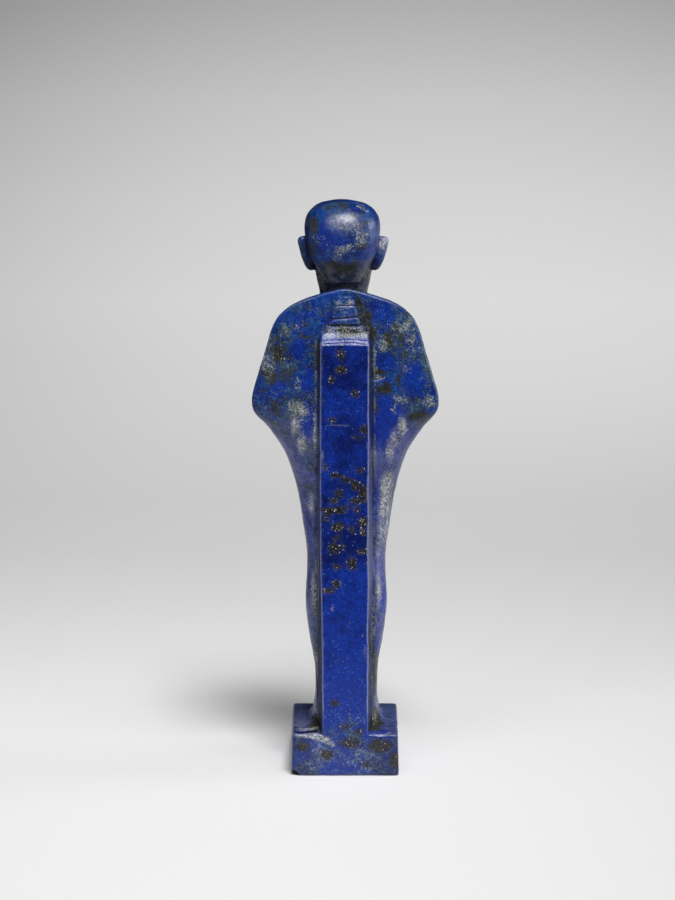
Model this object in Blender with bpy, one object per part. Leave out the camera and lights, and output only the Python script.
"""A small votive statuette of a standing, wrapped god, carved from one piece of blue stone.

The figure stands on a low plinth and leans against a back pillar with a grooved tab
above it. +Z is up, the figure faces -Y, and the origin lies under the middle of the
plinth. The sizes and the forms are in millimetres, and the joined stone is in metres.
"""

from math import copysign, cos, pi, radians, sin, sqrt

import bmesh
import bpy
from mathutils import Matrix, Vector

MM = 0.001

# Whole figure.
TOTAL_HEIGHT = 52.0
TOTAL_DEPTH = 11.0
BACK_FACE = TOTAL_DEPTH / 2
HEAD_SHIFT = 0.25  # the head sits a little off the middle of the pillar

# Plinth.
PLINTH_HEIGHT = 3.9
PLINTH_HALF_WIDTH_TOP = 4.77
PLINTH_HALF_WIDTH_BOTTOM = 4.87
PLINTH_EDGE = 0.28
PLINTH_SPREAD = 0.18
CHIP_WIDTH = 1.1
CHIP_HEIGHT = 0.85

# Back pillar and the tab above it.
PILLAR_TOP = 39.8
PILLAR_HALF_WIDTH_TOP = 2.13
PILLAR_HALF_WIDTH_BOTTOM = 2.06
PILLAR_EDGE = 0.14
PILLAR_FLARE = 0.4  # how much wider the pillar is where it meets the figure
PILLAR_FLARE_DEPTH = 2.6
PILLAR_ROOT = 1.0
CHAMFER_TOP = 40.8
TAB_TOP = 44.2
TAB_GROOVES = (41.35, 42.1, 43.2)
TAB_GROOVE_HEIGHT = 0.16
TAB_GROOVE_DEPTH = 0.14

# Wrapped body, by height: half width, back, line of greatest width, front, and how
# square the back and the front of the section are (2 is an ellipse, 6 a slab).
BODY_STATIONS = (
    # height, half width, back, widest, front, back squareness, front squareness
    (3.4, 3.06, 2.60, -0.6, -4.80, 2.4, 2.8),  # soles, inside the plinth
    (4.6, 3.04, 2.55, -0.6, -4.75, 2.4, 2.8),  # toes
    (5.5, 2.92, 2.45, -0.4, -4.25, 2.4, 2.5),  # instep
    (6.6, 2.82, 2.30, 0.0, -2.90, 2.4, 2.3),
    (8.6, 2.83, 2.35, 0.3, -1.85, 2.4, 2.3),  # ankles
    (12.0, 3.34, 2.85, 0.6, -1.80, 2.4, 2.3),
    (15.4, 3.68, 3.20, 0.7, -2.00, 2.4, 2.3),  # calves
    (19.3, 3.54, 3.05, 0.5, -2.35, 2.4, 2.3),  # knees
    (22.6, 3.94, 3.30, 0.6, -2.30, 2.3, 2.2),
    (26.0, 4.50, 3.65, 0.8, -2.35, 2.3, 2.1),  # thighs
    (29.0, 5.40, 3.95, 1.2, -2.45, 2.6, 2.0),  # hips
    (31.8, 6.98, 4.15, 2.3, -2.50, 3.2, 1.8),
    (33.5, 8.26, 4.25, 3.1, -2.60, 5.0, 1.7),  # points of the elbows
    (34.2, 8.38, 4.30, 3.3, -2.65, 5.0, 1.7),
    (36.9, 7.78, 4.40, 3.5, -2.80, 5.0, 1.8),
    (39.1, 7.10, 4.45, 3.6, -2.85, 5.0, 1.9),  # upper arms
    (40.7, 6.68, 4.45, 3.75, -2.50, 5.0, 1.8),
    (41.9, 6.14, 4.42, 3.85, -1.60, 5.0, 1.6),  # shoulders, which fall away in front
    (42.9, 5.15, 4.40, 3.90, -0.30, 5.0, 1.4),
    (43.5, 4.12, 4.38, 3.95, 0.60, 5.0, 1.4),
    (43.9, 3.05, 4.36, 3.95, 2.20, 4.0, 1.6),
    (44.2, 2.15, 4.34, 3.98, 2.90, 4.0, 1.8),
    (44.45, 1.30, 4.32, 4.00, 3.40, 3.5, 2.0),
    (44.62, 0.45, 4.28, 4.02, 3.75, 3.0, 2.0),  # top edge of the shroud
)
BODY_SIDES = 40
FINE_ABOVE = 29.0
LEGS_SHIFT = -0.11  # the legs stand a little off the middle of the pillar
LEGS_SHIFT_TOP = 34.0

# Neck, face, cap and ears.
NECK_STATIONS = (
    (40.9, 3.60, 2.7, 0.2, -2.1, 2.0, 2.0),
    (42.2, 2.85, 2.5, 0.2, -2.0, 2.0, 2.0),
    (43.4, 2.12, 2.2, 0.2, -1.9, 2.0, 2.0),
    (44.9, 2.42, 2.3, 0.2, -2.1, 2.2, 2.0),
    (46.2, 2.62, 2.5, 0.2, -2.4, 2.2, 2.0),
    (47.4, 2.80, 2.6, 0.2, -2.6, 2.2, 2.0),
)
FACE_STATIONS = (
    (44.85, 0.70, 0.0, -1.6, -2.5, 2.0, 2.2),
    (45.15, 1.35, 0.0, -1.4, -3.15, 2.0, 2.4),  # chin
    (45.9, 2.10, 0.0, -1.0, -3.40, 2.0, 2.4),
    (46.9, 2.72, 0.5, -0.6, -3.45, 2.0, 2.4),  # mouth
    (48.2, 2.98, 0.5, -0.4, -3.42, 2.0, 2.4),  # cheeks
    (49.3, 3.00, 0.5, -0.4, -3.38, 2.0, 2.4),
    (50.2, 2.80, 0.5, -0.4, -3.05, 2.0, 2.4),  # brow, under the cap
)
CAP_STATIONS = (
    (44.9, 1.50, 2.70, 1.9, 1.00, 2.4, 2.0),  # nape
    (46.2, 2.36, 3.00, 1.3, 0.00, 2.4, 2.0),
    (47.3, 3.05, 3.30, 0.8, -0.80, 2.3, 2.0),
    (48.8, 3.33, 3.60, 0.4, -1.20, 2.3, 2.0),  # behind the ears
    (49.35, 3.38, 3.66, 0.3, -1.60, 2.3, 2.0),
    (49.75, 3.39, 3.68, 0.2, -3.40, 2.3, 2.2),  # edge over the brow
    (50.3, 3.31, 3.55, 0.2, -3.22, 2.3, 2.2),
    (50.9, 3.00, 3.22, 0.3, -2.75, 2.3, 2.2),
    (51.4, 2.52, 2.75, 0.4, -2.05, 2.2, 2.2),
    (51.75, 1.92, 2.25, 0.5, -1.30, 2.2, 2.2),
    (TOTAL_HEIGHT, 0.95, 1.50, 0.6, -0.30, 2.0, 2.0),  # crown
)
HEAD_SIDES = 30
EAR_BOTTOM = 45.7
EAR_TOP = 48.72
EAR_DEPTH = 0.35
EAR_WIDTH = 1.5
EAR_ROOT = 2.3  # inside the head
EAR_REACH = {1: (2.72, 3.96), -1: (2.95, 4.28)}  # at the lobe and at the top, by side
EYE_HEIGHT = 48.45
EYE_SPACING = 1.32
EYE_HALF_WIDTH = 0.72
MOUTH_HEIGHT = 46.55
MOUTH_HALF_WIDTH = 0.82

# Beard, collar, hands and staff.
BEARD_TOP = 45.3
BEARD_TIP = 41.7
COLLAR_CENTRE = 43.3
COLLAR_RADIUS = 4.9
COLLAR_RELIEF = 0.16
COLLAR_LEVELS = (34.0, 44.3)
HAND_HEIGHT = 34.9
HAND_SPACING = 1.15
HAND_FRONT = -3.35
STAFF_FRONT = -3.45
STAFF_FOOT = 5.4
STAFF_TOP = 39.6
STAFF_HALF_WIDTH = 0.36
ELBOW_POINT = (7.0, 2.3, 33.8)
WRIST_POINT = (1.7, -2.45, 34.8)


def signed_power(value, power):
    """The value raised to a power, keeping its sign."""
    return copysign(abs(value) ** power, value)


def smooth_between(stations, height):
    """One row of sizes at a height, on a curve that never overshoots the stations."""
    count = len(stations)
    heights = [row[0] for row in stations]
    height = min(max(height, heights[0]), heights[-1])
    k = 0
    while k < count - 2 and height > heights[k + 1]:
        k += 1
    span = heights[k + 1] - heights[k]
    t = (height - heights[k]) / span
    sizes = []
    for column in range(1, len(stations[0])):
        slopes = []
        for j in range(count - 1):
            rise = stations[j + 1][column] - stations[j][column]
            slopes.append(rise / (heights[j + 1] - heights[j]))
        start = tangent(slopes, k)
        end = tangent(slopes, k + 1)
        a = stations[k][column]
        b = stations[k + 1][column]
        value = (1 + 2 * t) * (1 - t) ** 2 * a
        value += t * (1 - t) ** 2 * span * start
        value += t * t * (3 - 2 * t) * b
        value += t * t * (t - 1) * span * end
        sizes.append(value)
    return sizes


def tangent(slopes, k):
    """The slope at station k: flat at a turning point, else a mean of its two sides."""
    if k == 0:
        return slopes[0]
    if k == len(slopes):
        return slopes[-1]
    before = slopes[k - 1]
    after = slopes[k]
    if before * after <= 0:
        return 0.0
    return 2 * before * after / (before + after)


def legs_shift(height):
    """How far the body lies off the middle: all of it at the legs, none at the elbows."""
    share = min(max((LEGS_SHIFT_TOP - height) / 8.0, 0.0), 1.0)
    return LEGS_SHIFT * share


def section(height, half_width, back, widest, front, back_power, front_power, sides, shift=0.0):
    """A closed ring at one height, squarer or rounder at the back and at the front."""
    ring = []
    for k in range(sides):
        angle = 2 * pi * (k + 0.5) / sides
        across = cos(angle)
        along = sin(angle)
        power = back_power if along > 0 else front_power
        reach = back - widest if along > 0 else widest - front
        x = shift + half_width * signed_power(across, 2 / power)
        y = widest + reach * signed_power(along, 2 / power)
        ring.append((x, y, height))
    return ring


def link(name, bm):
    """A closed solid of this name from a bmesh, with its faces turned outwards."""
    bmesh.ops.recalc_face_normals(bm, faces=bm.faces)
    mesh = bpy.data.meshes.new(name)
    bm.to_mesh(mesh)
    bm.free()
    obj = bpy.data.objects.new(name, mesh)
    bpy.context.scene.collection.objects.link(obj)
    return obj


def loft(name, rings):
    """Rings of equal count joined by side faces and closed by one face at each end."""
    bm = bmesh.new()
    loops = []
    for ring in rings:
        loops.append([bm.verts.new(point) for point in ring])
    for lower, upper in zip(loops, loops[1:]):
        for k in range(len(lower)):
            after = (k + 1) % len(lower)
            bm.faces.new((lower[k], lower[after], upper[after], upper[k]))
    bm.faces.new(loops[0])
    bm.faces.new(loops[-1])
    return link(name, bm)


def heights_through(stations, step):
    """Heights through every station, a step apart on the upper body and two below it."""
    heights = [stations[0][0]]
    for lower, upper in zip(stations, stations[1:]):
        near = step if lower[0] > FINE_ABOVE else 2 * step
        count = max(1, round((upper[0] - lower[0]) / near))
        for k in range(1, count + 1):
            heights.append(lower[0] + (upper[0] - lower[0]) * k / count)
    return heights


def loft_stations(name, stations, sides, step, shift=0.0, swell=0.0):
    """A solid through stations of a body, neck or head, swollen outwards if wanted."""
    rings = []
    for height in heights_through(stations, step):
        half, back, widest, front, back_power, front_power = smooth_between(stations, height)
        middle = shift + legs_shift(height)
        rings.append(
            section(
                height,
                half + swell,
                back + swell,
                widest,
                front - swell,
                back_power,
                front_power,
                sides,
                middle,
            )
        )
    return loft(name, rings)


def limb(name, start, end, start_size, end_size, sides=14, steps=6, bulge=0.0):
    """A round-ended limb from start to end; each size is (half width, half depth)."""
    a = Vector(start)
    b = Vector(end)
    along = (b - a).normalized()
    side = along.cross(Vector((0, 0, 1)))
    if side.length < 0.01:
        side = Vector((1, 0, 0))
    side.normalize()
    up = side.cross(along)
    length = (b - a).length
    rings = []
    for k in range(steps + 1):
        # The ends close over as quarter circles, and the middle runs straight.
        angle = pi * (0.06 + 0.88 * k / steps)
        t = (1 - cos(angle)) / 2
        cap = sqrt(sin(angle))
        wide = (start_size[0] + (end_size[0] - start_size[0]) * t) * cap
        deep = (start_size[1] + (end_size[1] - start_size[1]) * t) * cap
        middle = a + along * (length * t) + up * (bulge * sin(pi * t))
        ring = []
        for j in range(sides):
            turn = 2 * pi * j / sides
            ring.append(tuple(middle + side * (wide * cos(turn)) + up * (deep * sin(turn))))
        rings.append(ring)
    return loft(name, rings)


def block(name, low, high, edge, segments=2):
    """A box from its low corner to its high corner with rounded edges."""
    bm = bmesh.new()
    bmesh.ops.create_cube(bm, size=1.0)
    middle = (Vector(low) + Vector(high)) / 2
    size = Vector(high) - Vector(low)
    for vert in bm.verts:
        vert.co = [middle[i] + vert.co[i] * size[i] for i in range(3)]
    bmesh.ops.bevel(
        bm,
        geom=bm.edges[:],
        offset=edge,
        segments=segments,
        affect="EDGES",
        profile=0.5,
        clamp_overlap=True,
    )
    return link(name, bm)


def ball(name, centre, radii, rings=8, sides=14):
    """An ellipsoid from its centre and three radii."""
    bm = bmesh.new()
    bmesh.ops.create_uvsphere(bm, u_segments=sides, v_segments=rings, radius=1.0)
    for vert in bm.verts:
        vert.co = [centre[i] + vert.co[i] * radii[i] for i in range(3)]
    return link(name, bm)


def combine(target, tool, operation):
    """Adds the tool to the target, cuts it away or keeps what they share."""
    tool.hide_render = True
    tool.display_type = "WIRE"
    modifier = target.modifiers.new(tool.name, "BOOLEAN")
    modifier.object = tool
    modifier.operation = operation
    modifier.solver = "EXACT"


def settle(obj, tools):
    """Carries out the modifiers of an object and clears away the tools they used."""
    graph = bpy.context.evaluated_depsgraph_get()
    graph.update()
    done = bpy.data.meshes.new_from_object(obj.evaluated_get(graph))
    obj.modifiers.clear()
    obj.data = done
    for tool in tools:
        bpy.data.objects.remove(tool, do_unlink=True)
    return obj


def plinth():
    """The low block under the feet, a little wider at the ground and at its front left."""
    solid = block(
        "plinth",
        (-PLINTH_HALF_WIDTH_BOTTOM, -BACK_FACE, 0.0),
        (PLINTH_HALF_WIDTH_BOTTOM, BACK_FACE, PLINTH_HEIGHT),
        PLINTH_EDGE,
    )
    taper = PLINTH_HALF_WIDTH_TOP / PLINTH_HALF_WIDTH_BOTTOM
    for vert in solid.data.vertices:
        rise = vert.co.z / PLINTH_HEIGHT
        forward = 0.5 - vert.co.y / TOTAL_DEPTH
        vert.co.x *= 1 + (taper - 1) * rise
        if vert.co.x > 0:
            vert.co.x += PLINTH_SPREAD * forward * (1 - rise)
    return solid


def pillar():
    """The flat slab up the back, whose sides spread slightly towards the figure."""
    rings = []
    for height in (0.6, PILLAR_TOP, CHAMFER_TOP):
        share = min(height / PILLAR_TOP, 1.0)
        half = PILLAR_HALF_WIDTH_BOTTOM
        half += (PILLAR_HALF_WIDTH_TOP - PILLAR_HALF_WIDTH_BOTTOM) * share
        back = BACK_FACE
        if height > PILLAR_TOP:
            back = tab_back(height)
        flare_end = min(BACK_FACE - PILLAR_FLARE_DEPTH, back - 0.4)
        ring = [
            (half - PILLAR_EDGE, back, height),
            (half, back - PILLAR_EDGE, height),
            (half + PILLAR_FLARE, flare_end, height),
            (half + PILLAR_FLARE, PILLAR_ROOT, height),
        ]
        mirrored = [(-x, y, z) for x, y, z in reversed(ring)]
        rings.append(ring + mirrored)
    return loft("pillar", rings)


def tab_back(height):
    """How far back the tab reaches at a height: it leans in slightly towards its top."""
    share = (height - CHAMFER_TOP) / (TAB_TOP - CHAMFER_TOP)
    return 4.85 - 0.45 * share


def tab_half_width(height):
    """The tab narrows upwards like an obelisk."""
    share = (height - PILLAR_TOP) / (TAB_TOP - PILLAR_TOP)
    return PILLAR_HALF_WIDTH_TOP - 1.38 * share**0.8


def tab():
    """The obelisk-shaped tab above the pillar, with its level grooves."""
    levels = [(PILLAR_TOP + 0.2, 0.0)]
    for groove in TAB_GROOVES:
        levels.append((groove - TAB_GROOVE_HEIGHT / 2, 0.0))
        levels.append((groove, -TAB_GROOVE_DEPTH))
        levels.append((groove + TAB_GROOVE_HEIGHT / 2, 0.0))
    levels.append((TAB_TOP - 0.3, 0.0))
    levels.append((TAB_TOP, -0.25))
    rings = []
    for height, sunk in levels:
        half = tab_half_width(height) + sunk
        back = tab_back(height) + sunk
        rings.append(
            [
                (half - 0.12, back, height),
                (half, back - 0.12, height),
                (half, 3.1, height),
                (-half, 3.1, height),
                (-half, back - 0.12, height),
                (-half + 0.12, back, height),
            ]
        )
    return loft("tab", rings)


def body():
    """The shroud from the top of the shoulders to the wrapped feet."""
    return loft_stations("body", BODY_STATIONS, BODY_SIDES, 0.7)


def collar():
    """The broad collar: a thin raised crescent that follows the chest."""
    lowest, highest = COLLAR_LEVELS
    stations = [row for row in BODY_STATIONS if lowest < row[0] < highest]
    raised = loft_stations("collar", stations, BODY_SIDES, 0.7, swell=COLLAR_RELIEF)
    rings = []
    for depth in (-6.0, 1.6):
        ring = []
        for k in range(36):
            angle = 2 * pi * k / 36
            x = COLLAR_RADIUS * cos(angle)
            z = COLLAR_CENTRE + COLLAR_RADIUS * 0.92 * sin(angle)
            ring.append((x, depth, z))
        rings.append(ring)
    disc = loft("collar_disc", rings)
    combine(raised, disc, "INTERSECT")
    return settle(raised, [disc])


def ear(side):
    """A D-shaped ear that stands away from the head, fuller above than below."""
    lobe, top = EAR_REACH[side]
    rings = []
    for k in range(8):
        t = k / 7
        height = EAR_BOTTOM + (EAR_TOP - EAR_BOTTOM) * t
        swell = sin(pi * (0.12 + 0.74 * t)) ** 0.6
        outer = lobe + (top - lobe) * t**0.48
        if k == 7:
            outer -= 0.22
        half_depth = EAR_WIDTH / 2 * swell
        half_thick = (outer - EAR_ROOT) / 2
        ring = []
        for j in range(14):
            angle = 2 * pi * j / 14
            ring_x = outer - half_thick + half_thick * signed_power(cos(angle), 0.8)
            ring_y = EAR_DEPTH + half_depth * sin(angle) + 0.35 * cos(angle)
            ring.append((HEAD_SHIFT + side * ring_x, ring_y, height))
        rings.append(ring)
    return loft(f"ear_{'left' if side > 0 else 'right'}", rings)


def face_parts():
    """Nose, brows, eyes and lips of a calm, plain face in low relief."""
    parts = []
    nose = []
    for height, half, front in (
        (47.25, 0.34, -3.55),
        (47.38, 0.62, -4.02),
        (47.75, 0.52, -4.18),
        (48.5, 0.30, -3.78),
        (49.2, 0.30, -3.44),
    ):
        ring = []
        for k in range(10):
            angle = 2 * pi * k / 10
            depth = front + 0.9 + 0.9 * sin(angle)
            ring.append((HEAD_SHIFT + half * cos(angle), depth, height))
        nose.append(ring)
    parts.append(loft("nose", nose))
    for side in (1, -1):
        x = HEAD_SHIFT + side * EYE_SPACING
        parts.append(
            ball(
                f"eye_{'left' if side > 0 else 'right'}",
                (x, -3.02, EYE_HEIGHT),
                (EYE_HALF_WIDTH, 0.42, 0.30),
                rings=6,
                sides=12,
            )
        )
        parts.append(
            limb(
                f"brow_{'left' if side > 0 else 'right'}",
                (HEAD_SHIFT + side * 0.38, -3.36, EYE_HEIGHT + 0.55),
                (HEAD_SHIFT + side * 2.25, -2.78, EYE_HEIGHT + 0.42),
                (0.20, 0.15),
                (0.20, 0.12),
                sides=8,
                steps=5,
                bulge=0.20,
            )
        )
    for name, height, deep in (("lip_upper", 0.13, 0.17), ("lip_lower", -0.15, 0.19)):
        parts.append(
            ball(
                name,
                (HEAD_SHIFT, -3.28, MOUTH_HEIGHT + height),
                (MOUTH_HALF_WIDTH, 0.36, deep),
                rings=6,
                sides=12,
            )
        )
    return parts


def beard():
    """The straight ceremonial beard, joined to the throat behind it."""
    rings = []
    for height, half, front in (
        (BEARD_TIP, 0.44, -3.45),
        (BEARD_TIP + 0.25, 0.60, -3.72),
        (BEARD_TIP + 1.6, 0.56, -3.70),
        (BEARD_TOP - 0.4, 0.46, -3.58),
        (BEARD_TOP, 0.40, -3.40),
    ):
        ring = []
        for k in range(11):
            angle = 1.25 * pi * k / 10 - 0.125 * pi
            x = HEAD_SHIFT + half * cos(angle)
            ring.append((x, front + half * (1 - sin(angle)), height))
        ring.append((HEAD_SHIFT - half * 0.6, -0.9, height))
        ring.append((HEAD_SHIFT + half * 0.6, -0.9, height))
        rings.append(ring)
    return loft("beard", rings)


def staff():
    """The staff down the front, joined to the shroud along its length."""
    rings = []
    for height in (STAFF_FOOT, STAFF_TOP):
        ring = []
        for k in range(7):
            angle = pi + pi * k / 6
            x = STAFF_HALF_WIDTH * cos(angle)
            y = STAFF_FRONT + STAFF_HALF_WIDTH * (1 + sin(angle))
            ring.append((x, y, height))
        ring.append((STAFF_HALF_WIDTH, -0.5, height))
        ring.append((-STAFF_HALF_WIDTH, -0.5, height))
        rings.append(ring)
    return loft("staff", rings)


def staff_head():
    """The slanted head of the staff, under the beard."""
    return limb(
        "staff_head",
        (0.0, -2.3, 39.2),
        (0.0, -4.15, 40.15),
        (0.52, 0.55),
        (0.34, 0.34),
        sides=10,
        steps=5,
    )


def hand(side):
    """A closed fist that grips the staff: a rounded block with a thumb on top."""
    low = (side * HAND_SPACING - 0.95, HAND_FRONT - 0.75, HAND_HEIGHT - 0.85)
    high = (side * HAND_SPACING + 0.95, HAND_FRONT + 1.6, HAND_HEIGHT + 0.75)
    fist = block(f"fist_{'left' if side > 0 else 'right'}", low, high, 0.42)
    thumb = limb(
        f"thumb_{'left' if side > 0 else 'right'}",
        (side * 1.75, HAND_FRONT + 0.1, HAND_HEIGHT + 0.72),
        (side * 0.25, HAND_FRONT - 0.45, HAND_HEIGHT + 0.78),
        (0.30, 0.28),
        (0.26, 0.24),
        sides=8,
        steps=5,
    )
    return [fist, thumb]


def forearm(side):
    """The forearm under the shroud, from the elbow in to the wrist."""
    elbow_x, elbow_y, elbow_z = ELBOW_POINT
    wrist_x, wrist_y, wrist_z = WRIST_POINT
    return limb(
        f"forearm_{'left' if side > 0 else 'right'}",
        (side * elbow_x, elbow_y, elbow_z),
        (side * wrist_x, wrist_y, wrist_z),
        (1.25, 1.25),
        (1.0, 1.0),
        sides=14,
        steps=7,
    )


def side_groove(side, half_top, half_bottom, size):
    """The carved channel that sets one side of the tab free from the shoulder."""
    return limb(
        f"groove_{'left' if side > 0 else 'right'}",
        (side * (half_top + 0.1), tab_back(43.4) - 0.12, 43.7),
        (side * (half_bottom + 0.3), 4.55, 39.2),
        (size * 0.7, size * 0.7),
        (size, size),
        sides=8,
        steps=6,
    )


def chip():
    """The piece that is missing from one lower corner of the plinth."""
    bm = bmesh.new()
    bmesh.ops.create_cube(bm, size=4.0)
    slope = Vector((CHIP_HEIGHT, CHIP_HEIGHT * 0.8, -CHIP_WIDTH)).normalized()
    turn = slope.to_track_quat("Z", "Y").to_matrix().to_4x4()
    corner = Vector((PLINTH_HALF_WIDTH_BOTTOM - CHIP_WIDTH, BACK_FACE, 0.0))
    middle = corner + slope * 2.0
    bmesh.ops.transform(bm, matrix=Matrix.Translation(middle) @ turn, verts=bm.verts)
    return link("chip", bm)


def stone(name):
    """Polished deep-blue stone."""
    material = bpy.data.materials.new(name)
    material.use_nodes = True
    shader = material.node_tree.nodes["Principled BSDF"]
    shader.inputs["Base Color"].default_value = (0.03, 0.07, 0.27, 1.0)
    shader.inputs["Roughness"].default_value = 0.38
    return material


def statuette():
    """Every form joined into the one carved stone."""
    whole = body()
    additions = [plinth(), pillar(), tab()]
    additions.append(loft_stations("neck", NECK_STATIONS, 24, 1.2, 0.15))
    additions.append(loft_stations("face", FACE_STATIONS, HEAD_SIDES, 0.6, HEAD_SHIFT))
    additions.append(loft_stations("cap", CAP_STATIONS, HEAD_SIDES, 0.5, HEAD_SHIFT))
    additions.append(collar())
    additions.extend(face_parts())
    additions.append(beard())
    additions.append(staff())
    additions.append(staff_head())
    for side in (1, -1):
        additions.append(ear(side))
        additions.append(forearm(side))
        additions.extend(hand(side))
    cuts = [
        side_groove(-1, 0.95, 2.15, 0.34),
        side_groove(1, 0.95, 2.15, 0.24),
        chip(),
    ]
    for form in additions:
        combine(whole, form, "UNION")
    for form in cuts:
        combine(whole, form, "DIFFERENCE")
    settle(whole, additions + cuts)
    whole.data.transform(Matrix.Scale(MM, 4))
    whole.name = "statuette"
    whole.data.name = "statuette"
    whole.data.materials.clear()
    whole.data.materials.append(stone("blue_stone"))
    whole.data.polygons.foreach_set("use_smooth", [True] * len(whole.data.polygons))
    whole.data.set_sharp_from_angle(angle=radians(30))
    return whole


for old in list(bpy.data.objects):
    bpy.data.objects.remove(old, do_unlink=True)
statuette()
